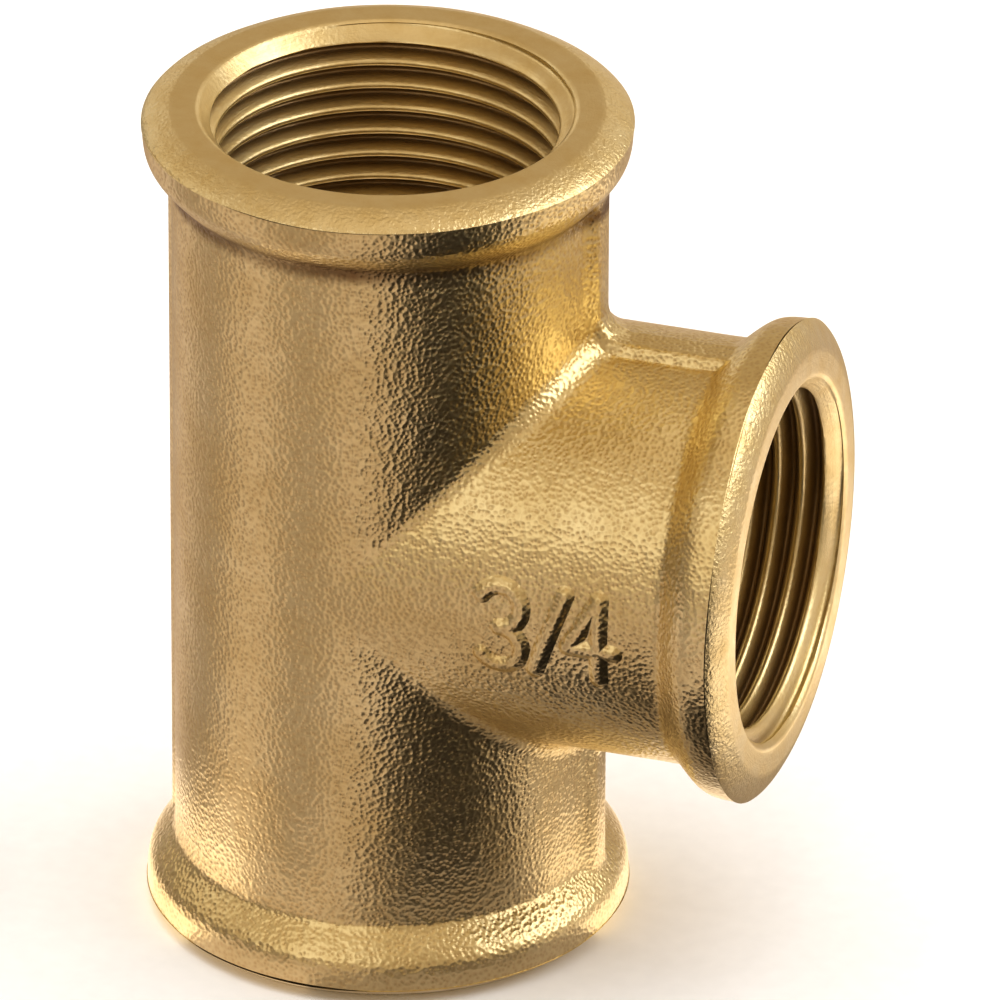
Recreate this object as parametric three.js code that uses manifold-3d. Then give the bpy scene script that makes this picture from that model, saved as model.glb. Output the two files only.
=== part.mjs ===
// Equal tee for threaded pipe: one hot-forged brass body with three parallel-threaded sockets.
// Millimetres, +Z up. The run stands along Z and the branch leaves it along +X.
// The forging is one piece of metal. It is given as six named regions that meet face to face on
// flat planes, so that each rim, barrel and the middle can be picked out, painted or replaced.
import * as THREE from "three";
import { ParametricGeometry } from "three/addons/geometries/ParametricGeometry.js";
import { mergeVertices } from "three/addons/utils/BufferGeometryUtils.js";
import Module from "manifold-3d";

// Driving dimensions of the forging.
const halfRun = 31.5; // from the crossing of the axes to each end face of the run
const branchReach = 30; // from the crossing of the axes to the branch's end face
const barrelRadius = 15.25;
const crotchRadius = 2; // rounding of the corner between run and branch

// The trimmed flash: a low flat land all round the body on the dies' parting plane, Y = 0.
const flashReach = 16.05; // from the axes to the top of the land
const flashWidth = 2.4;

// One end's rim, measured back from its flat face.
const beadRadius = 17.35;
const faceRadius = 15.4; // outer edge of the turned flat face
const bevelDepth = 1.1; // turned bevel between the flat face and the bead
const bevelBulge = 0.12; // how far the bevel stands out of a straight cone
const beadDepth = 3.2; // where the bead's full width would meet its 45 degree back slope
const beadRound = 0.7; // how far from there the rounding between the two begins
const rimDepth = beadDepth + beadRadius - barrelRadius; // where the slope meets the barrel
const rimLength = 6.5; // of the region named a rim, which takes in a little of the barrel

// G 3/4 parallel pipe thread (ISO 228-1), right-handed.
const pitch = 1.814;
const coreRadius = 12.06;
const majorRadius = 13.22;
const flankAngle = THREE.MathUtils.degToRad(27.5);
const countersinkRadius = 13.4;
const threadLength = 15; // from the end face to the end of the groove
const firstGroove = 0.7; // from the end face to the middle of the groove after its first turn
const runOutTurns = 0.5; // over which the groove rises out of the wall at its end

// Raised size mark on the branch's front.
const markCentre = 16.8; // from the run's axis
const markHeight = 7.4;
const strokeWidth = 1.1;
const markProud = 0.35;

// How finely round shapes are divided, and how far a cutting shape passes the face it cuts.
const segments = 32;
const rimSteps = 3;
const strokeSteps = 6;
const overshoot = 1;

const forgedBrass = { color: 0xb8924f, roughness: 0.45, metalness: 1 };
const turnedBrass = { color: 0xc9a765, roughness: 0.3, metalness: 1 };

const wasm = await Module();
wasm.setup();

// A three.js geometry as a solid that can be cut and joined.
function solid(geometry) {
  const bare = geometry.index ? geometry.toNonIndexed() : geometry.clone();
  bare.deleteAttribute("normal");
  bare.deleteAttribute("uv");
  const merged = mergeVertices(bare, 1e-4);
  const mesh = new wasm.Mesh({
    numProp: 3,
    vertProperties: merged.attributes.position.array,
    triVerts: new Uint32Array(merged.index.array),
  });
  return new wasm.Manifold(mesh);
}

// A named mesh from a solid.
function meshOf(name, shape, look) {
  const made = shape.getMesh();
  const geometry = new THREE.BufferGeometry();
  geometry.setAttribute("position", new THREE.BufferAttribute(made.vertProperties, 3));
  geometry.setIndex(new THREE.BufferAttribute(made.triVerts, 1));
  geometry.computeVertexNormals();
  const mesh = new THREE.Mesh(geometry, new THREE.MeshStandardMaterial(look));
  mesh.name = name;
  return mesh;
}

// A profile of [radius, height] points turned about the Z axis.
function turned(profile) {
  const points = profile.map(([radius, height]) => new THREE.Vector2(radius, height));
  return new THREE.LatheGeometry(points, segments).rotateX(Math.PI / 2);
}

// Lays a shape that was made along +Z along the branch, +X.
function alongBranch(geometry) {
  return geometry.rotateY(Math.PI / 2);
}

// Turns a shape that was made along +Z to point along -Z.
function alongDown(geometry) {
  return geometry.rotateX(Math.PI);
}

// The outside of one end: from the barrel up the bead's back slope, round onto its full width,
// and over the slightly domed bevel to the edge of the flat face.
function rimOutline(reach) {
  const backEdge = reach - beadDepth;
  const outline = new THREE.Path();
  outline.moveTo(barrelRadius, reach - rimDepth);
  outline.lineTo(beadRadius - beadRound, backEdge - beadRound);
  outline.quadraticCurveTo(beadRadius, backEdge, beadRadius, backEdge + beadRound);
  outline.lineTo(beadRadius, reach - bevelDepth);
  outline.quadraticCurveTo(
    (beadRadius + faceRadius) / 2 + bevelBulge,
    reach - bevelDepth / 2 + bevelBulge,
    faceRadius,
    reach,
  );
  return outline.getPoints(rimSteps).map((point) => [point.x, point.y]);
}

// The run's outside as a solid bar with a rim at both ends.
function runBar() {
  const upper = rimOutline(halfRun);
  const lower = upper.map(([radius, height]) => [radius, -height]).reverse();
  return turned([[0, -halfRun], ...lower, ...upper, [0, halfRun]]);
}

// The branch's outside as a solid bar, from the run's axis to its rim.
function branchBar() {
  const outline = rimOutline(branchReach);
  return alongBranch(turned([[0, 0], [barrelRadius, 0], ...outline, [0, branchReach]]));
}

// The metal that rounds the corner between run and branch, in the slice through both axes: the
// two touching points with the round between them, and a corner sunk into the body.
function crotchSection() {
  const sunk = barrelRadius - 0.5;
  const arcCentre = barrelRadius + crotchRadius;
  const outline = new THREE.Path();
  outline.moveTo(sunk, sunk);
  outline.lineTo(sunk, arcCentre);
  outline.lineTo(barrelRadius, arcCentre);
  outline.absarc(arcCentre, arcCentre, crotchRadius, Math.PI, 1.5 * Math.PI, false);
  outline.lineTo(arcCentre, sunk);
  outline.closePath();
  return outline.getPoints(rimSteps * 2);
}

// In a slice at y = R sin(angle) both barrels' walls stand R cos(angle) from the axes, so the
// rounding there is the middle section shrunk by that cosine. It fades out at both sides.
function crotchFillet() {
  const section = crotchSection();
  const steps = section.length - 1;
  const place = (around, across, target) => {
    const angle = (across - 0.5) * Math.PI;
    const point = section[Math.round(around * steps)];
    target.set(point.x * Math.cos(angle), barrelRadius * Math.sin(angle), point.y * Math.cos(angle));
  };
  return new ParametricGeometry(place, steps, segments / 2);
}

// The trimmed flash, drawn as the plate that it is left from: a tee-shaped outline in the plane of
// both axes, with rounded inner corners, whose ends are buried in the beads.
function flashPlate() {
  const runEnd = halfRun - beadDepth;
  const branchEnd = branchReach - beadDepth;
  const arcCentre = flashReach + crotchRadius;
  const outline = new THREE.Shape();
  outline.moveTo(-flashReach, -runEnd);
  outline.lineTo(flashReach, -runEnd);
  outline.absarc(arcCentre, -arcCentre, crotchRadius, Math.PI, Math.PI / 2, true);
  outline.lineTo(branchEnd, -flashReach);
  outline.lineTo(branchEnd, flashReach);
  outline.absarc(arcCentre, arcCentre, crotchRadius, 1.5 * Math.PI, Math.PI, true);
  outline.lineTo(flashReach, runEnd);
  outline.lineTo(-flashReach, runEnd);
  outline.closePath();
  const settings = { depth: flashWidth, curveSegments: rimSteps * 2, bevelEnabled: false };
  const plate = new THREE.ExtrudeGeometry(outline, settings);
  return plate.rotateX(Math.PI / 2).translate(0, flashWidth / 2, 0);
}

// A socket's drilled core with its 45 degree countersink, opening upwards, from the given height.
function coreBore(from, reach) {
  return turned([
    [0, from],
    [coreRadius, from],
    [coreRadius, reach - (countersinkRadius - coreRadius)],
    [countersinkRadius + overshoot, reach + overshoot],
    [0, reach + overshoot],
  ]);
}

// A socket's groove as a closed cutter, for a socket that opens upwards. The groove's outline is
// extruded straight, one unit for each turn, and the bar is then wound into a right-hand helix
// that goes down into the socket. At its end the groove rises out of the wall.
function threadCutter(reach) {
  const innerRadius = coreRadius - 0.26;
  const leastKept = 0.05;
  const rootFlat = pitch / 2 - (majorRadius - coreRadius) * Math.tan(flankAngle);
  const mouthWidth = rootFlat + 2 * (majorRadius - innerRadius) * Math.tan(flankAngle);
  const groove = new THREE.Shape();
  groove.moveTo(innerRadius, -mouthWidth / 2);
  groove.lineTo(majorRadius, -rootFlat / 2);
  groove.lineTo(majorRadius, rootFlat / 2);
  groove.lineTo(innerRadius, mouthWidth / 2);
  groove.closePath();
  const start = firstGroove - pitch;
  const steps = Math.round(((threadLength - start) / pitch) * segments);
  const turns = steps / segments;
  const bar = new THREE.ExtrudeGeometry(groove, { depth: turns, steps, bevelEnabled: false });
  const position = bar.attributes.position;
  for (let i = 0; i < position.count; i++) {
    const turn = position.getZ(i);
    const kept = Math.min(1, Math.max(leastKept, (turns - turn) / runOutTurns));
    const radius = innerRadius + (position.getX(i) - innerRadius) * kept;
    const angle = -2 * Math.PI * turn;
    const height = reach - start - pitch * turn + position.getY(i);
    position.setXYZ(i, radius * Math.cos(angle), radius * Math.sin(angle), height);
  }
  return bar;
}

// What the machinist takes out of one socket, opening upwards.
function socketCutters(from, reach) {
  return [coreBore(from, reach), threadCutter(reach)];
}

// A straight stroke with round ends.
function barStroke(fromX, fromY, toX, toY) {
  const along = Math.atan2(toY - fromY, toX - fromX);
  const quarter = Math.PI / 2;
  const stroke = new THREE.Shape();
  stroke.absarc(fromX, fromY, strokeWidth / 2, along + quarter, along + 3 * quarter, false);
  stroke.absarc(toX, toY, strokeWidth / 2, along - quarter, along + quarter, false);
  return stroke;
}

// A stroke along part of a circle, from one angle to the other in degrees.
function arcStroke(centreX, centreY, radius, from, to) {
  const start = THREE.MathUtils.degToRad(from);
  const end = THREE.MathUtils.degToRad(to);
  const stroke = new THREE.Shape();
  stroke.absarc(centreX, centreY, radius + strokeWidth / 2, start, end, false);
  stroke.absarc(centreX, centreY, radius - strokeWidth / 2, end, start, true);
  return stroke;
}

// The figure 3: two bowls, one on the other.
function figureThree(x, top) {
  const bowl = top / 2;
  return [arcStroke(x, bowl, bowl, -90, 150), arcStroke(x, -bowl, bowl, -150, 90)];
}

// The figure 4: an upright, a slope down from its top, and a bar across.
function figureFour(x, top) {
  const barY = -0.25 * top;
  const slopeFoot = x - 0.7 * top;
  const barEnd = x + 0.35 * top;
  return [
    barStroke(x, -top, x, top),
    barStroke(x, top, slopeFoot, barY),
    barStroke(slopeFoot, barY, barEnd, barY),
  ];
}

// The thread size, 3/4, as flat strokes about the mark's centre.
function markStrokes() {
  const top = (markHeight - strokeWidth) / 2;
  const spacing = 1.15 * top;
  const slashLean = 0.35 * top;
  return [
    ...figureThree(-spacing, top),
    barStroke(-slashLean, -top, slashLean, top),
    ...figureFour(spacing, top),
  ];
}

// The size mark follows the round of the branch and stands a little proud of it.
function sizeMark() {
  const core = (radius) =>
    solid(alongBranch(turned([[0, 0], [radius, 0], [radius, branchReach], [0, branchReach]])));
  const depth = barrelRadius + overshoot;
  const bars = markStrokes().map((stroke) => {
    const settings = { depth, curveSegments: strokeSteps, bevelEnabled: false };
    return solid(new THREE.ExtrudeGeometry(stroke, settings).rotateX(Math.PI / 2));
  });
  const raised = bars.reduce((all, bar) => all.add(bar)).translate([markCentre, 0, 0]);
  return raised.intersect(core(barrelRadius + markProud)).subtract(core(barrelRadius - overshoot));
}

// The whole forging, machined, with the crossing of its axes at the origin.
function forging() {
  const outside = solid(runBar())
    .add(solid(branchBar()))
    .add(solid(crotchFillet()))
    .add(solid(alongDown(crotchFillet())))
    .add(solid(flashPlate()))
    .add(sizeMark());
  const cutters = [
    ...socketCutters(-overshoot, halfRun),
    ...socketCutters(-overshoot, halfRun).map(alongDown),
    ...socketCutters(0, branchReach).map(alongBranch),
  ];
  return cutters.reduce((body, cutter) => body.subtract(solid(cutter)), outside);
}

// The part of the forging between two places along the branch's axis and two heights.
function region(body, [lowX, highX], [lowZ, highZ]) {
  const box = new THREE.BoxGeometry(highX - lowX, 4 * barrelRadius, highZ - lowZ);
  box.translate((lowX + highX) / 2, 0, (lowZ + highZ) / 2);
  return body.intersect(solid(box));
}

function tee() {
  const body = forging();
  const crotchTop = flashReach + crotchRadius;
  const rimFrom = halfRun - rimLength;
  const pastEnd = halfRun + overshoot;
  const allAlong = [-2 * beadRadius, 2 * beadRadius];
  const middle = [-crotchTop, crotchTop];
  const beforeRim = [-2 * beadRadius, branchReach - rimLength];
  const branchEnd = [branchReach - rimLength, branchReach + overshoot];
  const group = new THREE.Group();
  group.add(
    meshOf("top_rim", region(body, allAlong, [rimFrom, pastEnd]), turnedBrass),
    meshOf("top_barrel", region(body, allAlong, [crotchTop, rimFrom]), forgedBrass),
    meshOf("centre_body", region(body, beforeRim, middle), forgedBrass),
    meshOf("branch_rim", region(body, branchEnd, middle), turnedBrass),
    meshOf("bottom_barrel", region(body, allAlong, [-rimFrom, -crotchTop]), forgedBrass),
    meshOf("bottom_rim", region(body, allAlong, [-pastEnd, -rimFrom]), turnedBrass),
  );
  // The origin is under the middle of the part's box, on the plane that the lower rim stands on.
  group.position.set((beadRadius - branchReach) / 2, 0, halfRun);
  return group;
}

export default tee();
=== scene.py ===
import bmesh
import bpy
import numpy as np
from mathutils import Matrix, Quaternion, Vector


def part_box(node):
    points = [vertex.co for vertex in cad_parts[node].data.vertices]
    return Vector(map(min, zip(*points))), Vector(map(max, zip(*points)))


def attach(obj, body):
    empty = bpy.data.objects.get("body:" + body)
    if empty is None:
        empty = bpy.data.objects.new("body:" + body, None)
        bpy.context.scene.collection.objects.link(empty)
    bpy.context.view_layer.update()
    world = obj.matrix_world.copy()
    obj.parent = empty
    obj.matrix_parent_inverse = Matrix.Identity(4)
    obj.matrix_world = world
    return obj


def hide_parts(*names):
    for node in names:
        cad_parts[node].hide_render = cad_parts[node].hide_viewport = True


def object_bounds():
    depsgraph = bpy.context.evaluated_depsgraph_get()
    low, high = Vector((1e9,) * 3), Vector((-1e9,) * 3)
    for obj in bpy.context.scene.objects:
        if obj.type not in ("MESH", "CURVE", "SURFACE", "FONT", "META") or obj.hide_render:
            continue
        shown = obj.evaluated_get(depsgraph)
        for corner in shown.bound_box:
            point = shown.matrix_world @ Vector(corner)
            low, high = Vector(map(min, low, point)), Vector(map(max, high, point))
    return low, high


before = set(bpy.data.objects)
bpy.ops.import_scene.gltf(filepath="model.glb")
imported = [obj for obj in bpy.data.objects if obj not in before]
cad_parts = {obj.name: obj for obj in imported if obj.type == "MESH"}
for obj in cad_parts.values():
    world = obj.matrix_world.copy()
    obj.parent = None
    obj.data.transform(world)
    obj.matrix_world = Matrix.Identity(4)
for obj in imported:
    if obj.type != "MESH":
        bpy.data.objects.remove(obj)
cad_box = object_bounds()

# Shapes are worked out in millimetres about the crossing of the axes, and then put where the CAD is.
MM = 0.001


def node_size(node):
    """The lengths of a CAD node's box along X, Y and Z, in millimetres."""
    low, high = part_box(node)
    return (high - low) / MM


# Sizes that the CAD nodes give.
rim_low, rim_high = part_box("top_rim")
branch_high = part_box("branch_rim")[1]
CROSSING = Vector(((rim_low.x + rim_high.x) / 2, 0, (cad_box[0].z + cad_box[1].z) / 2))
HALF_RUN = (cad_box[1].z - CROSSING.z) / MM
BRANCH_REACH = (branch_high.x - CROSSING.x) / MM
BEAD_RADIUS = node_size("top_rim").x / 2
BARREL_RADIUS = node_size("top_barrel").y / 2
FLASH_REACH = node_size("top_barrel").x / 2
RIM_LENGTH = node_size("top_rim").z

# The rest of the forging's sizes, in millimetres, as the part's source has them.
CROTCH_RADIUS = 2.0
FLASH_WIDTH = 2.4
FLASH_FLANK = 2.6  # how many times steeper the flash land's sides are than 45 degrees, on the branch
RUN_FLASH_FLANK = 0.9  # and on the run, where the land is rubbed into the barrel
FLASH_ZONE = 3.4  # how far from the parting plane the flash land can still show
BEAD_ROUNDING = 0.7
ROOT_ROUNDING = 0.22  # where the bead's slope runs into the barrel
BORE_ROUNDING = 0.3  # where the passages meet
BEAD_DEPTH = 3.2
BEVEL_DEPTH = 1.1
FACE_RADIUS = 15.4
PITCH = 1.814
CORE_RADIUS = 12.06
MAJOR_RADIUS = 13.22
FLANK_ANGLE = np.radians(27.5)
COUNTERSINK_RADIUS = 13.4
THREAD_LENGTH = 15.0
FIRST_GROOVE = 0.7
RUN_OUT_TURNS = 0.5
MARK_CENTRE = 16.8
MARK_HEIGHT = 7.4
STROKE_WIDTH = 1.1
MARK_PROUD = 0.35

CREST_ROUNDING = 0.137329  # the thread's rounding radius, as a share of its pitch
LIP_RADIUS = COUNTERSINK_RADIUS + 0.22  # where the flat face starts to round over inwards
THREAD_STEP = 0.085  # between the profile's points down the thread

# Inside the metal, where the forging meets a turned socket out of sight.
SEAT_RADIUS = 14.4
SOCKET_DEPTH = THREAD_LENGTH + 0.6

# The size mark's tile, in millimetres.
TILE_HALF_WIDTH = 6.6
TILE_HALF_HEIGHT = 4.8
TILE_SUNK = 0.06  # how far its plain parts lie under the branch's skin
TILE_THICKNESS = 0.5


# ---- shaping helpers

def smooth_max(a, b, width):
    """The larger of a and b, rounded where they cross: half of a + b + sqrt((a - b)^2 + width^2)."""
    return (a + b + np.sqrt((a - b) ** 2 + width**2)) / 2


def smooth_min(a, b, width):
    """The smaller of a and b, rounded where they cross."""
    return -smooth_max(-a, -b, width)


def smooth_step(low, high, value):
    """0 below low and 1 above high, with a smooth cubic rise between them."""
    share = np.clip((value - low) / (high - low), 0, 1)
    return share * share * (3 - 2 * share)


def bezier(points, count):
    """Points along a cubic curve with these four control points."""
    share = np.linspace(0, 1, count)[:, None]
    a, b, c, d = np.array(points, float)
    rest = 1 - share
    return rest**3 * a + 3 * rest**2 * share * b + 3 * rest * share**2 * c + share**3 * d


def grid_faces(rows, columns, close_rows=False, close_columns=True):
    """The quads of a grid of points numbered row by row, wrapped round where it is closed."""
    row = np.arange(rows if close_rows else rows - 1)[:, None]
    column = np.arange(columns if close_columns else columns - 1)[None, :]
    next_row = (row + 1) % rows
    next_column = (column + 1) % columns
    corners = [
        row * columns + column,
        next_row * columns + column,
        next_row * columns + next_column,
        row * columns + next_column,
    ]
    return np.stack(np.broadcast_arrays(*corners), axis=-1).reshape(-1, 4)


def closed_mesh(name, points, faces, attributes, sharp_angle=35):
    """A closed mesh from points in millimetres about the crossing of the axes. Points that fall on
    each other are merged and the faces are turned outwards. Each attribute is a value at each point."""
    mesh = bpy.data.meshes.new(name)
    placed = points * MM + np.array(CROSSING)
    mesh.from_pydata(placed.tolist(), [], faces.tolist())
    for label, values in attributes.items():
        layer = mesh.attributes.new(label, "FLOAT", "POINT")
        layer.data.foreach_set("value", values.astype(np.float32))
    work = bmesh.new()
    work.from_mesh(mesh)
    bmesh.ops.remove_doubles(work, verts=work.verts, dist=1e-7)
    bmesh.ops.recalc_face_normals(work, faces=work.faces)
    work.to_mesh(mesh)
    work.free()
    mesh.polygons.foreach_set("use_smooth", [True] * len(mesh.polygons))
    mesh.set_sharp_from_angle(angle=np.radians(sharp_angle))
    return mesh


def add_piece(name, mesh, material, nodes=()):
    """Shows a mesh as a piece of the tee that stands for the given CAD nodes."""
    piece = bpy.data.objects.new(name, mesh)
    bpy.context.scene.collection.objects.link(piece)
    mesh.materials.append(material)
    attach(piece, "root")
    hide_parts(*nodes)
    return piece


# ---- the forged body

def wall_samples():
    """Distances from the parting plane at which the barrels' cross-section is drawn, close together
    over the flash land, from one side of the barrel to the other."""
    around = BARREL_RADIUS * np.sin(np.radians(np.linspace(-90, 90, 101)))
    inside, outside = FLASH_ZONE - 0.1, FLASH_ZONE + 0.1
    land = np.linspace(-inside, inside, 61)
    return np.concatenate([around[around < -outside], land, around[around > outside]])


def wall_reach(off_plane, flank, rounding):
    """How far a barrel's wall stands from the axis in the slice at that distance from the parting
    plane: the barrel's circle, or the flat flash land with sloping sides where it stands further."""
    circle = np.sqrt(np.maximum(BARREL_RADIUS**2 - off_plane**2, 0))
    past_edge = smooth_max(np.abs(off_plane) - FLASH_WIDTH / 2, 0, rounding)
    land = FLASH_REACH - flank * past_edge
    return np.where(np.abs(off_plane) < FLASH_ZONE, smooth_max(circle, land, rounding), circle)


def run_reach(off_plane):
    """The run's wall, whose flash land fades softly into the barrel."""
    return wall_reach(off_plane, RUN_FLASH_FLANK, 0.35)


def branch_reach(off_plane):
    """The branch's wall, whose flash land keeps its trimmed edges."""
    return wall_reach(off_plane, FLASH_FLANK, 0.12)


def bead_radius(depth):
    """The bead's radius at a depth below the end face: full width, then a 45 degree back slope."""
    return smooth_min(BEAD_RADIUS, BEAD_RADIUS + BEAD_DEPTH - depth, BEAD_ROUNDING)


def ledge_depth(angle):
    """The depth of the line where the turned bevel starts. The forged bead is never quite round,
    so the line wanders a little as it goes round the end."""
    return BEVEL_DEPTH + 0.05 * np.sin(2 * angle + 0.6) + 0.035 * np.sin(5 * angle + 2) \
        + 0.02 * np.sin(11 * angle)


def ledge_gap(angle):
    """How far the forged skin falls away from under the bevel's edge: a hairline that opens and
    closes as it goes round, where the tool has only just cleaned up the forging."""
    return 0.02 + 0.05 * smooth_step(0.1, 0.9, np.sin(angle * 1.5 + 0.9) ** 2)


def rim_path(angle, wall):
    """From the ledge down over the bead to the barrel, as (radius, depth) for each angle: the
    larger of the bead's profile and the wall's own radius, rounded where they meet."""
    share = np.linspace(0, 1, 37)[None, :]
    ledge = (ledge_depth(angle) + ledge_gap(angle))[:, None]
    depth = ledge * (1 - share) + RIM_LENGTH * share
    radius = smooth_max(bead_radius(depth), wall[:, None], ROOT_ROUNDING)
    return radius, depth


def hidden_path(slices):
    """From the ledge into the metal, down beside the socket and in to the bore, as (radius, depth)."""
    depth = np.array([BEVEL_DEPTH, SOCKET_DEPTH, SOCKET_DEPTH])
    radius = np.array([SEAT_RADIUS, SEAT_RADIUS, CORE_RADIUS])
    shape = (slices, len(depth))
    return np.broadcast_to(radius, shape), np.broadcast_to(depth, shape)


def bore_angles(off_plane):
    """The slices' angles round the bores, which match the plain barrel's."""
    return np.arcsin(np.clip(off_plane / BARREL_RADIUS, -1, 1))


def elbow_path(run_wall, branch_wall, round_radius, run_end, branch_end, counts):
    """In each slice, down a straight wall that stands `run_wall` from the run's axis, round the
    corner, and out along the branch at `branch_wall` from its axis: (x, z) for every slice."""
    run_count, round_count, branch_count = counts
    run_wall, branch_wall, round_radius = run_wall[:, None], branch_wall[:, None], round_radius[:, None]
    middle_x, middle_z = run_wall + round_radius, branch_wall + round_radius
    down = np.linspace(0, 1, run_count)[None, :]
    run_z = run_end + (middle_z - run_end) * down
    turn = np.linspace(0, np.pi / 2, round_count)[None, 1:-1]
    out = np.linspace(0, 1, branch_count)[None, :]
    branch_x = middle_x + (branch_end - middle_x) * out
    x = np.hstack([
        np.broadcast_to(run_wall, run_z.shape),
        middle_x - round_radius * np.cos(turn),
        branch_x,
    ])
    z = np.hstack([
        run_z,
        middle_z - round_radius * np.sin(turn),
        np.broadcast_to(branch_wall, branch_x.shape),
    ])
    return x, z


def end_paths(off_plane, wall):
    """One end of a barrel for every slice: the cosine and sine of the slice's angle round the axis,
    the rim's (radius, depth) and the hidden seat's (radius, depth)."""
    angle = np.arctan2(off_plane, wall)
    rim = rim_path(angle, np.hypot(off_plane, wall))
    return np.cos(angle)[:, None], np.sin(angle)[:, None], rim, hidden_path(len(off_plane))


def stacked(parts):
    """Pieces of path, each as (x, y, z) arrays with a row for every slice, joined end to end."""
    return np.stack([np.hstack([part[axis] for part in parts]) for axis in range(3)], axis=-1)


def quarter_sheet(off_plane):
    """The upper half of the branch side, as a closed loop for every slice: from the top ledge down
    the run, round the corner, out along the branch, in at the branch's ledge, and back along the
    bores to the start."""
    run_wall, branch_wall = run_reach(off_plane), branch_reach(off_plane)
    cosine, sine, (radius, depth), (seat, seat_depth) = end_paths(off_plane, run_wall)
    out_cosine, out_sine, (out_radius, out_depth), _ = end_paths(off_plane, branch_wall)
    round_radius = CROTCH_RADIUS * np.sqrt(np.maximum(1 - (off_plane / BARREL_RADIUS) ** 2, 0))
    wall_x, wall_z = elbow_path(
        run_wall, branch_wall, round_radius, HALF_RUN - RIM_LENGTH, BRANCH_REACH - RIM_LENGTH, (24, 14, 18)
    )
    across = bore_angles(off_plane)
    bore = CORE_RADIUS * np.cos(across)
    bore_x, bore_z = elbow_path(
        bore, bore, BORE_ROUNDING * np.cos(across),
        HALF_RUN - SOCKET_DEPTH, BRANCH_REACH - SOCKET_DEPTH, (8, 5, 4),
    )
    wall_y = np.broadcast_to(off_plane[:, None], wall_x.shape)
    bore_y = np.broadcast_to(CORE_RADIUS * np.sin(across)[:, None], bore_x.shape)
    seat_cosine, seat_sine = np.cos(across)[:, None], np.sin(across)[:, None]
    return stacked([
        (radius * cosine, radius * sine, HALF_RUN - depth),
        (wall_x[:, 1:-1], wall_y[:, 1:-1], wall_z[:, 1:-1]),
        (
            BRANCH_REACH - out_depth[:, ::-1],
            out_radius[:, ::-1] * out_sine,
            out_radius[:, ::-1] * out_cosine,
        ),
        (BRANCH_REACH - seat_depth, seat * seat_sine, seat * seat_cosine),
        (bore_x[:, -2:0:-1], bore_y[:, -2:0:-1], bore_z[:, -2:0:-1]),
        (seat[:, ::-1] * seat_cosine, seat[:, ::-1] * seat_sine, HALF_RUN - seat_depth[:, ::-1]),
    ])


def back_sheet(off_plane):
    """The half of the run that faces away from the branch, as a closed loop for every slice: from
    the top ledge down to the bottom ledge, in, and back up along the bore."""
    wall = run_reach(off_plane)
    cosine, sine, (radius, depth), (seat, seat_depth) = end_paths(off_plane, wall)
    across = bore_angles(off_plane)
    seat_cosine, seat_sine = np.cos(across)[:, None], np.sin(across)[:, None]

    def straight(x, y, end, count):
        half = end * (1 - np.linspace(0, 1, count)[1:])
        z = np.concatenate([half, -half[-2::-1]])
        shape = (len(x), len(z))
        return [np.broadcast_to(axis, shape) for axis in (-x[:, None], y[:, None], z[None, :])]

    wall_x, wall_y, wall_z = straight(wall, off_plane, HALF_RUN - RIM_LENGTH, 24)
    bore_x, bore_y, bore_z = straight(
        CORE_RADIUS * np.cos(across), CORE_RADIUS * np.sin(across), HALF_RUN - SOCKET_DEPTH, 8
    )
    return stacked([
        (-radius * cosine, radius * sine, HALF_RUN - depth),
        (wall_x, wall_y, wall_z),
        (-radius[:, ::-1] * cosine, radius[:, ::-1] * sine, depth[:, ::-1] - HALF_RUN),
        (-seat * seat_cosine, seat * seat_sine, seat_depth - HALF_RUN),
        (bore_x, bore_y, -bore_z),
        (-seat[:, ::-1] * seat_cosine, seat[:, ::-1] * seat_sine, HALF_RUN - seat_depth[:, ::-1]),
    ])


def edge_wear(points):
    """How exposed each point is, from 0 to 1: most on the bead's full-width band, where the fitting
    rubs on its neighbours in the box and the tumbling drum."""
    from_run = np.hypot(points[:, 0], points[:, 1])
    from_branch = np.hypot(points[:, 1], points[:, 2])
    in_run_bead = smooth_step(BARREL_RADIUS + 1.0, BEAD_RADIUS, from_run) \
        * (np.abs(points[:, 2]) > HALF_RUN - RIM_LENGTH)
    in_branch_bead = smooth_step(BARREL_RADIUS + 1.0, BEAD_RADIUS, from_branch) \
        * (points[:, 0] > BRANCH_REACH - RIM_LENGTH)
    return np.maximum(in_run_bead, in_branch_bead)


def crease_dirt(points):
    """How much painted shade each point gets, from 0 to 1: most in the line where the top bead's slope
    runs into the barrel and faces down, where shade falls. The other two beads get none."""
    slope_foot = HALF_RUN - BEAD_DEPTH - (BEAD_RADIUS - BARREL_RADIUS)
    return 1 - smooth_step(0.2, 1.3, np.abs(points[:, 2] - slope_foot))


def forged_body(material):
    """The whole forging with its bores, made of three sheets that meet on the planes through the
    axes: the branch side's upper half, its mirror image below, and the back half."""
    off_plane = wall_samples()
    upper = quarter_sheet(off_plane)
    lower = upper * np.array([1, 1, -1])
    back = back_sheet(off_plane)
    points, faces, start = [], [], 0
    for sheet in (upper, lower, back):
        rows, columns = sheet.shape[:2]
        points.append(sheet.reshape(-1, 3))
        faces.append(grid_faces(rows, columns) + start)
        start += rows * columns
    points = np.concatenate(points)
    faces = np.concatenate(faces)
    # The second attribute marks where the painted shade under the top bead goes; wear only calms the bump.
    attributes = {"wear": edge_wear(points), "crease": crease_dirt(points)}
    mesh = closed_mesh("forged_body", points, faces, attributes)
    return add_piece(
        "forged_body", mesh, material, ["centre_body", "top_barrel", "bottom_barrel"]
    )


# ---- the machined sockets

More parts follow.
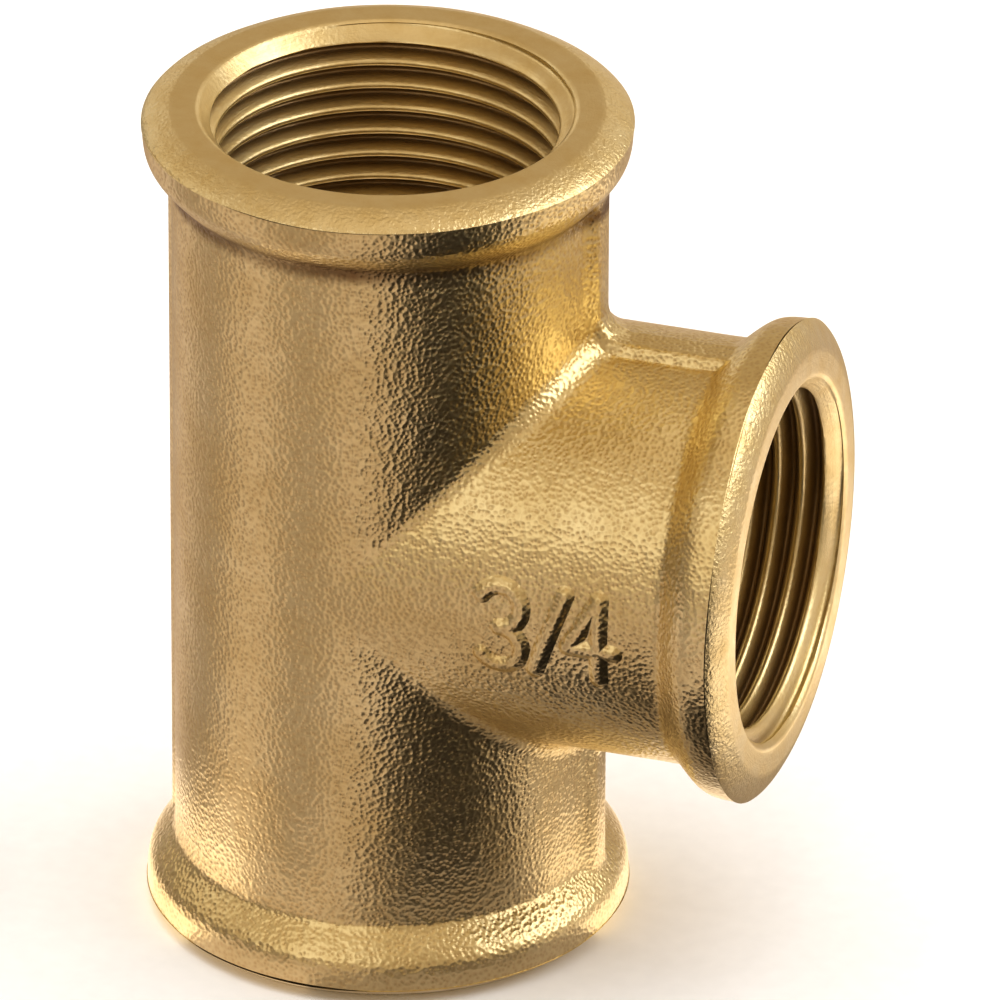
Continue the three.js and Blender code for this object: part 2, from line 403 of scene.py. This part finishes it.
def thread_radius(angle, depth):
    """The threaded wall's radius: a 55 degree thread with rounded crests and roots. The phase counts
    pitches down the socket and turns round it, and each groove's middle is at a whole number."""
    start = FIRST_GROOVE - PITCH
    phase = (depth - start) / PITCH + angle / (2 * np.pi)
    groove = np.round(phase)
    off_groove = np.abs(phase - groove) * PITCH
    off_crest = PITCH / 2 - off_groove
    round_radius = CREST_ROUNDING * PITCH
    round_half = round_radius * np.cos(FLANK_ANGLE)
    middle = (CORE_RADIUS + MAJOR_RADIUS) / 2
    flank = middle + (PITCH / 4 - off_groove) / np.tan(FLANK_ANGLE)
    root = MAJOR_RADIUS - round_radius + np.sqrt(np.maximum(round_radius**2 - off_groove**2, 0))
    crest = CORE_RADIUS + round_radius - np.sqrt(np.maximum(round_radius**2 - off_crest**2, 0))
    radius = np.where(off_groove < round_half, root, np.where(off_crest < round_half, crest, flank))
    turns = (THREAD_LENGTH - start) / PITCH
    turn = groove - angle / (2 * np.pi)
    kept = smooth_step(0, RUN_OUT_TURNS, turns - turn)
    return CORE_RADIUS + (radius - CORE_RADIUS) * kept


def socket_points():
    """A socket that opens upwards, about its own axis with the end face at depth 0, as a profile
    carried round: bevel, flat face, countersunk and threaded bore, and the hidden back."""
    angle = np.linspace(0, 2 * np.pi, 220, endpoint=False)[:, None]
    bevel = bezier([(BEAD_RADIUS, BEVEL_DEPTH), (17.0, 0.62), (15.85, 0.14), (FACE_RADIUS - 0.1, 0)], 14)
    face = np.linspace(FACE_RADIUS - 0.1, LIP_RADIUS, 6)[1:-1]
    lip = bezier([(LIP_RADIUS, 0), (LIP_RADIUS - 0.1, 0), (13.35, 0.06), (13.22, 0.18)], 6)
    outer_radius = np.concatenate([bevel[:, 0], face, lip[:, 0]])[None, :]
    outer_depth = np.concatenate([bevel[:, 1], 0 * face, lip[:, 1]])[None, :]
    ledge_share = np.clip(outer_depth / BEVEL_DEPTH, 0, 1) * (outer_radius > FACE_RADIUS)
    wander = (ledge_depth(angle) - BEVEL_DEPTH) * ledge_share
    outer_radius = np.broadcast_to(outer_radius, (len(angle), outer_radius.shape[1]))
    outer_depth = outer_depth + wander
    depth = np.concatenate([np.arange(0.26, SOCKET_DEPTH, THREAD_STEP), [SOCKET_DEPTH]])[None, :]
    threaded = smooth_max(thread_radius(angle, depth), COUNTERSINK_RADIUS - depth, 0.12)
    threaded[:, -1] = CORE_RADIUS
    depth = np.broadcast_to(depth, threaded.shape)
    back_radius = np.broadcast_to([SEAT_RADIUS, SEAT_RADIUS], (len(angle), 2))
    back_depth = np.broadcast_to([SOCKET_DEPTH, BEVEL_DEPTH], (len(angle), 2))
    radius = np.hstack([outer_radius, threaded, back_radius])
    down = np.hstack([outer_depth, depth, back_depth])
    return radius, down, np.broadcast_to(angle, radius.shape)


def turned_socket(name, node, place, material):
    """One machined end as a closed ring: `place` takes points from a socket that opens upwards,
    with the end face at height 0, to where this one is."""
    radius, down, angle = socket_points()
    local = np.stack([radius * np.cos(angle), radius * np.sin(angle), -down], axis=-1)
    points = place(local.reshape(-1, 3))
    rows, columns = radius.shape
    steps = np.hypot(np.diff(radius, axis=1), np.diff(down, axis=1))
    travel = np.hstack([np.zeros((rows, 1)), np.cumsum(steps, axis=1)])
    on_bevel = smooth_step(FACE_RADIUS - 0.4, FACE_RADIUS + 0.4, radius)
    in_thread = smooth_step(0.5, 1.2, down) * (radius < SEAT_RADIUS)
    attributes = {
        "travel": travel.ravel(),
        "bevel": (on_bevel * (down < SOCKET_DEPTH / 2)).ravel(),
        "groove": (in_thread * (radius - CORE_RADIUS) / (MAJOR_RADIUS - CORE_RADIUS)).ravel(),
    }
    faces = grid_faces(rows, columns, close_rows=True)
    mesh = closed_mesh(name, points, faces, attributes)
    return add_piece(name, mesh, material, [node])


def place_top(local):
    """Lifts a socket onto the run's upper end."""
    return local + np.array([0, 0, HALF_RUN])


def place_bottom(local):
    """Turns a socket over about X and sets it on the run's lower end."""
    return local * np.array([1, -1, -1]) - np.array([0, 0, HALF_RUN])


def place_branch(local):
    """Turns a socket to open along +X and sets it on the branch's end."""
    turned = np.stack([local[:, 2], local[:, 1], -local[:, 0]], axis=-1)
    return turned + np.array([BRANCH_REACH, 0, 0])


# ---- the raised size mark

def from_bar(x, y, start, end):
    """Distance from each point to a straight line between two points."""
    (ax, ay), (bx, by) = start, end
    along = ((x - ax) * (bx - ax) + (y - ay) * (by - ay)) / ((bx - ax) ** 2 + (by - ay) ** 2)
    along = np.clip(along, 0, 1)
    return np.hypot(x - ax - along * (bx - ax), y - ay - along * (by - ay))


def from_arc(x, y, centre, radius, middle, half):
    """Distance from each point to part of a circle: `half` degrees each way from `middle`."""
    dx, dy = x - centre[0], y - centre[1]
    off = np.angle(np.exp(1j * (np.arctan2(dy, dx) - np.radians(middle))))
    ends = [np.radians(middle + side * half) for side in (-1, 1)]
    to_ends = [np.hypot(dx - radius * np.cos(end), dy - radius * np.sin(end)) for end in ends]
    on_arc = np.abs(np.hypot(dx, dy) - radius)
    return np.where(np.abs(off) <= np.radians(half), on_arc, np.minimum(*to_ends))


def from_mark(x, y):
    """Distance from each point to the middle line of the nearest stroke of the size, 3/4."""
    top = (MARK_HEIGHT - STROKE_WIDTH) / 2
    three, four, bowl, lean = -1.15 * top, 1.15 * top, top / 2, 0.35 * top
    foot = (four - 0.7 * top, -0.25 * top)
    strokes = [
        from_arc(x, y, (three, bowl), bowl, 30, 120),
        from_arc(x, y, (three, -bowl), bowl, -30, 120),
        from_bar(x, y, (-lean, -top), (lean, top)),
        from_bar(x, y, (four, -top), (four, top)),
        from_bar(x, y, (four, top), foot),
        from_bar(x, y, foot, (four + 0.35 * top, foot[1])),
    ]
    return np.minimum.reduce(strokes)


def size_mark(material):
    """The thread size in relief on the branch's front, as a thin curved tile: its top stands proud
    of the branch along each stroke and falls away in a flared foot, and elsewhere it lies just
    under the branch's skin. Its underside closes it."""
    x = np.linspace(-TILE_HALF_WIDTH, TILE_HALF_WIDTH, 150)[:, None]
    z = np.linspace(-TILE_HALF_HEIGHT, TILE_HALF_HEIGHT, 110)[None, :]
    distance = from_mark(x, z)
    rise = 1 - smooth_step(0.1, STROKE_WIDTH * 0.82, distance)
    height = (MARK_PROUD + TILE_SUNK) * rise - TILE_SUNK
    top_y = -np.sqrt((BARREL_RADIUS + height) ** 2 - z**2)
    under_y = -np.sqrt((BARREL_RADIUS - TILE_THICKNESS) ** 2 - z**2)
    shape = distance.shape
    rows, columns = shape
    across = np.broadcast_to(MARK_CENTRE + x, shape)
    up = np.broadcast_to(z, shape)
    top = np.stack([across, top_y, up], axis=-1).reshape(-1, 3)
    under = np.stack([across, np.broadcast_to(under_y, shape), up], axis=-1).reshape(-1, 3)
    tile = grid_faces(rows, columns, close_columns=False)
    index = np.arange(rows * columns).reshape(rows, columns)
    border = np.concatenate([index[:-1, 0], index[-1, :-1], index[:0:-1, -1], index[0, :0:-1]])
    after = np.roll(border, -1)
    count = rows * columns
    wall = np.stack([border, after, after + count, border + count], axis=-1)
    faces = np.concatenate([tile, tile[:, ::-1] + count, wall])
    points = np.concatenate([top, under])
    mesh = closed_mesh("size_mark", points, faces, {"wear": np.tile(rise.ravel(), 2)}, 80)
    return add_piece("size_mark", mesh, material)


# ---- materials

def linear(code):
    """An sRGB hex colour as linear red, green, blue and 1."""
    value = np.array([int(code[start : start + 2], 16) for start in (1, 3, 5)]) / 255
    flat = np.where(value <= 0.04045, value / 12.92, ((value + 0.055) / 1.055) ** 2.4)
    return (*flat.tolist(), 1.0)


def add_node(tree, kind, settings=None, **inputs):
    """Adds a node. Settings are its properties, and each input is a value or a socket to link."""
    node = tree.nodes.new(kind)
    for label, value in (settings or {}).items():
        setattr(node, label, value)
    for label, value in inputs.items():
        number = label[1:] if label.startswith("_") else None
        socket = node.inputs[int(number)] if number else node.inputs[label.replace("_", " ")]
        if isinstance(value, bpy.types.NodeSocket):
            tree.links.new(value, socket)
        else:
            socket.default_value = value
    return node


def new_material(name):
    """An empty node material with its output, as (material, tree, output)."""
    material = bpy.data.materials.new(name)
    material.use_nodes = True
    tree = material.node_tree
    tree.nodes.clear()
    return material, tree, add_node(tree, "ShaderNodeOutputMaterial")


def forged_brass():
    """Hot-forged leaded brass, shot-blasted to take off the scale: bright yellow metal with a fine
    orange-peel grain, so it glitters in points. Painted shade darkens the bottoms of the grain's
    dimples, and a dark band of painted shade, uneven in strength, lies in the line under the top bead. The
    beads, which rub on other fittings, are a little smoother."""
    material, tree, output = new_material("forged_brass")
    place = add_node(tree, "ShaderNodeTexCoord").outputs["Object"]
    grain_size = 0.32 * MM  # from one dimple to the next, as a fine shot leaves them
    grain = add_node(
        tree, "ShaderNodeTexVoronoi", {"feature": "SMOOTH_F1"},
        Vector=place, Scale=1 / grain_size, Smoothness=0.6,
    )
    swell = add_node(
        tree, "ShaderNodeTexNoise", Vector=place, Scale=1 / (3.5 * MM), Detail=1.0, Roughness=0.4
    )
    stain = add_node(
        tree, "ShaderNodeTexNoise", Vector=place, Scale=1 / (6 * MM), Detail=4.0, Roughness=0.55
    )
    wear = add_node(tree, "ShaderNodeAttribute", {"attribute_name": "wear"}).outputs["Fac"]
    tint = add_node(tree, "ShaderNodeValToRGB", Fac=stain.outputs["Fac"])
    tint.color_ramp.elements[0].position = 0.3
    tint.color_ramp.elements[0].color = linear("#ead8a4")
    tint.color_ramp.elements[1].position = 0.7
    tint.color_ramp.elements[1].color = linear("#f4e7ba")
    # Painted shade: the bottoms of the grain's dimples are painted a darker tan, for the shade that falls
    # in them.
    dimple_shade = add_node(
        tree, "ShaderNodeMapRange", Value=grain.outputs["Distance"],
        From_Min=0.0, From_Max=0.6, To_Min=0.4, To_Max=0.0,
    )
    shade = add_node(
        tree, "ShaderNodeMix", {"data_type": "RGBA"},
        _0=dimple_shade.outputs["Result"], _6=tint.outputs["Color"], _7=linear("#c09c62"),
    )
    # Painted shade: how strongly the dark band under the top bead is painted, uneven from place to place.
    bead_shade_strength = add_node(
        tree, "ShaderNodeMapRange", Value=stain.outputs["Fac"],
        From_Min=0.35, From_Max=0.6, To_Min=0.85, To_Max=0.45,
    )
    crease = add_node(tree, "ShaderNodeAttribute", {"attribute_name": "crease"}).outputs["Fac"]
    under_bead_shade = add_node(
        tree, "ShaderNodeMath", {"operation": "MULTIPLY"}, _0=crease, _1=bead_shade_strength.outputs["Result"]
    )
    # Mixes the dark painted shade into the colour along the line under the top bead.
    shade = add_node(
        tree, "ShaderNodeMix", {"data_type": "RGBA"},
        _0=under_bead_shade.outputs["Value"], _6=shade.outputs[2], _7=linear("#6b4826"),
    )
    rough = add_node(
        tree, "ShaderNodeMapRange", Value=stain.outputs["Fac"],
        From_Min=0.3, From_Max=0.7, To_Min=0.36, To_Max=0.29,
    )
    low = add_node(
        tree, "ShaderNodeBump", Strength=0.5, Distance=0.25 * MM, Height=swell.outputs["Fac"]
    )
    calm = add_node(tree, "ShaderNodeMapRange", Value=wear, To_Min=1.0, To_Max=0.8)
    bump = add_node(
        tree, "ShaderNodeBump", Strength=calm.outputs["Result"], Distance=0.072 * MM,
        Height=grain.outputs["Distance"], Normal=low.outputs["Normal"],
    )
    metal = add_node(
        tree, "ShaderNodeBsdfPrincipled", Metallic=1.0, Base_Color=shade.outputs[2],
        Roughness=rough.outputs["Result"], Normal=bump.outputs["Normal"],
    )
    tree.links.new(metal.outputs["BSDF"], output.inputs["Surface"])
    return material


def turned_brass():
    """The same brass cut on a lathe: fine rings follow the tool round the end and along the thread,
    a fine blasted grain lies over the bevel and faintly over the rest, and the thread's roots are
    painted darker, as painted shade."""
    material, tree, output = new_material("turned_brass")
    place = add_node(tree, "ShaderNodeTexCoord").outputs["Object"]
    travel = add_node(tree, "ShaderNodeAttribute", {"attribute_name": "travel"}).outputs["Fac"]
    groove = add_node(tree, "ShaderNodeAttribute", {"attribute_name": "groove"}).outputs["Fac"]
    feed = 0.12  # millimetres that the tool moves in a turn
    rings = add_node(
        tree, "ShaderNodeTexNoise", {"noise_dimensions": "1D"},
        W=travel, Scale=1 / feed, Detail=2.0, Roughness=0.6,
    )
    film = add_node(
        tree, "ShaderNodeTexNoise", Vector=place, Scale=1 / (2.2 * MM), Detail=4.0, Roughness=0.6
    )
    tint = add_node(tree, "ShaderNodeValToRGB", Fac=film.outputs["Fac"])
    tint.color_ramp.elements[0].position = 0.3
    tint.color_ramp.elements[0].color = linear("#ead8a4")
    tint.color_ramp.elements[1].position = 0.7
    tint.color_ramp.elements[1].color = linear("#f5e8bd")
    # Painted shade: the thread's roots are painted darker, most where the groove is deepest, for the shade
    # that falls in them.
    root_shade = add_node(
        tree, "ShaderNodeMapRange", Value=groove,
        From_Min=0.4, From_Max=1.0, To_Min=0.0, To_Max=0.75,
    )
    shade = add_node(
        tree, "ShaderNodeMix", {"data_type": "RGBA"},
        _0=root_shade.outputs["Result"], _6=tint.outputs["Color"], _7=linear("#6b4522"),
    )
    rough = add_node(
        tree, "ShaderNodeMapRange", Value=film.outputs["Fac"],
        From_Min=0.3, From_Max=0.7, To_Min=0.42, To_Max=0.33,
    )
    frost = add_node(
        tree, "ShaderNodeTexNoise", Vector=place, Scale=1 / (0.3 * MM), Detail=2.0, Roughness=0.5
    )
    bevel = add_node(tree, "ShaderNodeAttribute", {"attribute_name": "bevel"}).outputs["Fac"]
    keep = add_node(tree, "ShaderNodeMapRange", Value=bevel, To_Min=0.3, To_Max=1.0)
    blasted = add_node(
        tree, "ShaderNodeBump", Strength=keep.outputs["Result"], Distance=0.1 * MM,
        Height=frost.outputs["Fac"],
    )
    bump = add_node(
        tree, "ShaderNodeBump", Strength=0.35, Distance=0.02 * MM,
        Height=rings.outputs["Fac"], Normal=blasted.outputs["Normal"],
    )
    metal = add_node(
        tree, "ShaderNodeBsdfPrincipled", Metallic=1.0, Base_Color=shade.outputs[2],
        Roughness=rough.outputs["Result"], Normal=bump.outputs["Normal"],
    )
    tree.links.new(metal.outputs["BSDF"], output.inputs["Surface"])
    return material


def studio_paper():
    """Matt white background paper, with the faint mottle of uncoated stock."""
    material, tree, output = new_material("studio_paper")
    place = add_node(tree, "ShaderNodeTexCoord").outputs["Object"]
    mottle = add_node(tree, "ShaderNodeTexNoise", Vector=place, Scale=1 / (1.5 * MM), Detail=3.0)
    tint = add_node(tree, "ShaderNodeValToRGB", Fac=mottle.outputs["Fac"])
    tint.color_ramp.elements[0].color = linear("#f4f4f3")
    tint.color_ramp.elements[1].color = linear("#fbfbfa")
    paper = add_node(tree, "ShaderNodeBsdfPrincipled", Base_Color=tint.outputs["Color"], Roughness=0.9)
    tree.links.new(paper.outputs["BSDF"], output.inputs["Surface"])
    return material


def lit_card(name, colour, brightness):
    """A card under its own lamp: an even glow with the faint mottle of felt, which the brass
    mirrors as a light or dark band."""
    material, tree, output = new_material(name)
    place = add_node(tree, "ShaderNodeTexCoord").outputs["Object"]
    nap = add_node(tree, "ShaderNodeTexNoise", Vector=place, Scale=1 / (8 * MM), Detail=2.0)
    glow = add_node(
        tree, "ShaderNodeMapRange", Value=nap.outputs["Fac"],
        To_Min=0.9 * brightness, To_Max=1.1 * brightness,
    )
    card = add_node(tree, "ShaderNodeEmission", Color=linear(colour), Strength=glow.outputs["Result"])
    tree.links.new(card.outputs["Emission"], output.inputs["Surface"])
    return material


# ---- the studio

CAMERA_AZIMUTH = np.radians(17.72)
CAMERA_ELEVATION = np.radians(28.68)
CAMERA_ROLL = np.radians(0.18)
CAMERA_DISTANCE = 1.2326  # metres from the crossing of the axes
AIM_RIGHT = 7.952 * MM  # the camera aims this far to the right of the crossing
SENSOR_WIDTH = 36  # millimetres
LENS = 624.6  # millimetres


def direction(azimuth, elevation):
    """The unit vector that points from the tee at an azimuth from the front, to the right, and an
    elevation, both in radians."""
    flat = np.cos(elevation)
    return Vector((np.sin(azimuth) * flat, -np.cos(azimuth) * flat, np.sin(elevation)))


def add_camera():
    """A long lens that looks down on the tee from the front right."""
    back = direction(CAMERA_AZIMUTH, CAMERA_ELEVATION)
    right = Vector((np.cos(CAMERA_AZIMUTH), np.sin(CAMERA_AZIMUTH), 0))
    lens = bpy.data.cameras.new("camera")
    lens.sensor_width = SENSOR_WIDTH
    lens.lens = LENS
    lens.clip_start, lens.clip_end = 0.05, 20
    camera = bpy.data.objects.new("camera", lens)
    camera.location = CROSSING + right * AIM_RIGHT + back * CAMERA_DISTANCE
    camera.rotation_mode = "QUATERNION"
    camera.rotation_quaternion = back.to_track_quat("Z", "Y") @ Quaternion((0, 0, 1), CAMERA_ROLL)
    bpy.context.scene.collection.objects.link(camera)
    bpy.context.scene.camera = camera


def add_softbox(name, azimuth, elevation, distance, size, brightness, colour="#ffffff"):
    """A soft rectangular light that faces the tee, of the given (width, height) in metres. The
    azimuth is in degrees to the right of the camera, and a brightness of 1 is paper white."""
    data = bpy.data.lights.new(name, "AREA")
    data.shape = "RECTANGLE"
    data.size, data.size_y = size
    data.energy = brightness * np.pi * size[0] * size[1]
    data.color = linear(colour)[:3]
    lamp = bpy.data.objects.new(name, data)
    away = direction(CAMERA_AZIMUTH + np.radians(azimuth), np.radians(elevation))
    lamp.location = CROSSING + away * distance
    lamp.rotation_mode = "QUATERNION"
    lamp.rotation_quaternion = away.to_track_quat("Z", "Y")
    bpy.context.scene.collection.objects.link(lamp)
    return lamp


def stage_mesh(name, points, faces, material):
    """A thin sheet of the studio, from points in metres."""
    mesh = bpy.data.meshes.new(name)
    mesh.from_pydata(points, [], faces)
    mesh.materials.append(material)
    sheet = bpy.data.objects.new(name, mesh)
    bpy.context.scene.collection.objects.link(sheet)
    return sheet


def add_floor():
    """A wide sheet of white paper under the tee."""
    half, low = 3.0, cad_box[0].z
    corners = [(-half, -half, low), (half, -half, low), (half, half, low), (-half, half, low)]
    return stage_mesh("floor", corners, [(0, 1, 2, 3)], studio_paper())


def round_tee(radius, angles, height):
    """Points at one radius and height round the run's axis, in metres."""
    return [
        (CROSSING.x + radius * np.sin(angle), -radius * np.cos(angle), height) for angle in angles
    ]


def only_in_brass(card):
    """Hides a card from everything but mirror-like surfaces."""
    card.visible_camera = False
    card.visible_diffuse = False
    card.visible_shadow = False
    return card


def add_floor_card(name, azimuths, radii, material):
    """A card that lies on the paper beside the tee, as a sector between two azimuths, in degrees to
    the right of the camera, and two radii in metres."""
    angles = CAMERA_AZIMUTH + np.radians(np.linspace(*azimuths, 24))
    near, far = radii
    height = cad_box[0].z + 0.2 * MM
    points = round_tee(near, angles, height) + round_tee(far, angles[::-1], height)
    return only_in_brass(stage_mesh(name, points, [tuple(range(len(points)))], material))


def add_wall_card(name, azimuths, radius, heights, material):
    """A low curved card that stands round part of the table, between two azimuths, in degrees to
    the right of the camera, and two heights above the crossing, in metres. The brass mirrors it as
    the dark room beyond the lit table."""
    angles = CAMERA_AZIMUTH + np.radians(np.linspace(*azimuths, 25))
    low, high = heights
    points = round_tee(radius, angles, CROSSING.z + low) + round_tee(radius, angles, CROSSING.z + high)
    faces = grid_faces(2, len(angles), close_columns=False).tolist()
    return only_in_brass(stage_mesh(name, points, faces, material))


def add_world(strength):
    """Even warm light from all round."""
    world = bpy.data.worlds.new("studio")
    world.use_nodes = True
    sky = world.node_tree.nodes["Background"]
    sky.inputs["Color"].default_value = linear("#ffe4c1")
    sky.inputs["Strength"].default_value = strength
    bpy.context.scene.world = world


def light_studio():
    """Soft lamps at the front left, overhead, on both sides and behind, of which the right one is
    the brightest, and cards on the paper round the tee that draw the light and dark bands down the
    run. A lamp for the paper alone keeps it white."""
    add_world(0.56)
    add_softbox("key", -35, 32, 0.9, (0.8, 0.5), 0.64)
    add_softbox("overhead", 0, 82, 0.9, (0.9, 0.8), 0.3, "#fff0dc")
    add_softbox("right", 88, 34, 0.8, (0.75, 0.6), 2.0, "#f4f7ff")
    add_softbox("left", -110, 30, 0.8, (0.5, 0.4), 0.5)
    add_softbox("back_right", 156, 21, 0.8, (0.35, 0.25), 0.5)
    add_softbox("back_left", -150, 12, 0.8, (0.5, 0.25), 0.5)
    paper_lamp = add_softbox("paper_lamp", 0, 90, 1.6, (2.4, 2.4), 1.7, "#e0efff")
    paper_lamp.visible_glossy = False
    cream = "#ffe8da"
    pale, low = lit_card("pale_felt", cream, 0.82), lit_card("low_felt", cream, 0.44)
    light, mid = lit_card("white_felt", "#ffeee0", 1.6), lit_card("grey_felt", cream, 0.6)
    foot, dim = lit_card("cream_felt", "#ffeee0", 1.8), lit_card("dim_felt", cream, 0.45)
    dark = lit_card("black_felt", cream, 0.01)
    start, near, middle, edge, far = 1 * MM, 27 * MM, 55 * MM, 112 * MM, 0.6
    add_floor_card("left_foot_card", (-200, -60), (start, near), foot)
    add_floor_card("front_left_foot_card", (-60, -20), (start, near), pale)
    add_floor_card("front_foot_card", (-20, 64), (start, near), dim)
    add_floor_card("right_foot_card", (64, 160), (start, near), light)
    band_width = 30
    for number in range(6):
        first = -206 + band_width * number
        felt = (pale, low)[number % 2]
        add_floor_card(f"left_card_{number}", (first, first + band_width), (near, far), felt)
    add_floor_card("front_left_card", (-26, -8), (near, middle), pale)
    add_floor_card("front_left_far_card", (-26, 4), (middle, far), pale)
    add_floor_card("black_near_card", (-8, 55), (near, middle), dark)
    add_floor_card("black_card", (4, 58), (middle, far), dark)
    add_floor_card("near_card", (55, 125), (near, middle), dim)
    add_floor_card("white_card", (58, 125), (middle, edge), light)
    add_floor_card("far_card", (58, 125), (edge, far), mid)
    add_floor_card("back_card", (125, 154), (near, far), mid)
    add_wall_card("dark_room", (-150, -48), 0.7, (-0.02, 0.12), dark)


def main():
    scene = bpy.context.scene
    scene.view_settings.view_transform = "Standard"
    scene.view_settings.gamma = 0.8
    forged, turned = forged_brass(), turned_brass()
    forged_body(forged)
    turned_socket("top_socket", "top_rim", place_top, turned)
    turned_socket("bottom_socket", "bottom_rim", place_bottom, turned)
    turned_socket("branch_socket", "branch_rim", place_branch, turned)
    size_mark(forged)
    add_camera()
    add_floor()
    light_studio()


main()
